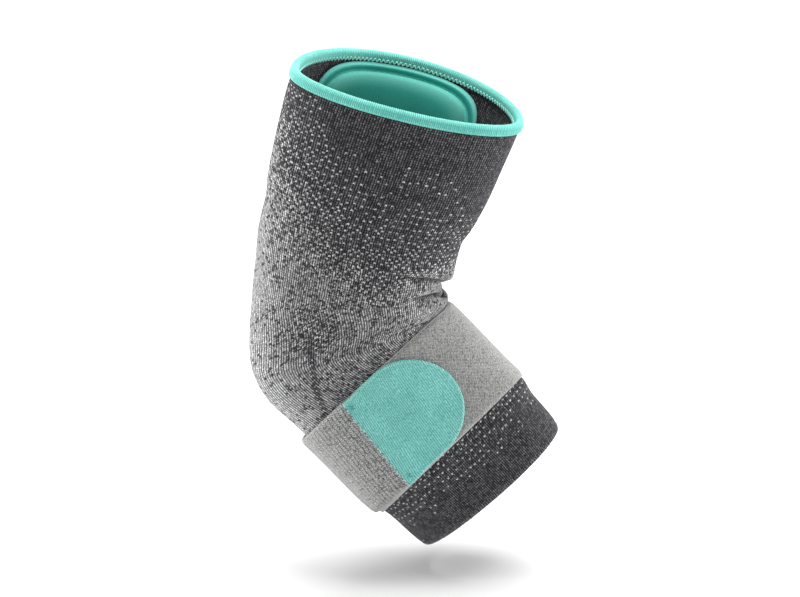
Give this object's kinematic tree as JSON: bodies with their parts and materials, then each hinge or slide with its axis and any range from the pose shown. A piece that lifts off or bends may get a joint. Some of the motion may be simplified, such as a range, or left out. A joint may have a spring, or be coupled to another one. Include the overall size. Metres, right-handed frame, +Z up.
{
  "type": "elbow brace",
  "caption": "Knitted compression sleeve for a bent elbow, with a rolled top welt, an inner gel pad and a two-layer forearm strap closed by a hook tab.",
  "frame": {"origin": "elbow centre, where the axes of upper arm and forearm cross, inside the hollow", "axes": "+Z up, +X towards the crook side, the arm bends in the plane Y = 0, the tab is in front at -Y"},
  "size_m": [0.1488, 0.0895, 0.2432],
  "materials": {
    "charcoal_knit": "fine ribbed knit with a light grey stipple",
    "teal_welt": "finely ribbed knit",
    "teal_gel": "matte cloth-covered gel",
    "grey_loop": "fine speckled loop fabric",
    "grey_webbing": "coarse ribbed elastic webbing",
    "teal_tab": "twill face with a stitched edge"
  },
  "bodies": {
    "root": {"knit_sleeve": "charcoal_knit", "top_welt": "teal_welt", "gel_pad": "teal_gel", "strap_loop_band": "grey_loop", "strap_elastic": "grey_webbing", "strap_tab": "teal_tab"}
  },
  "joints": []
}
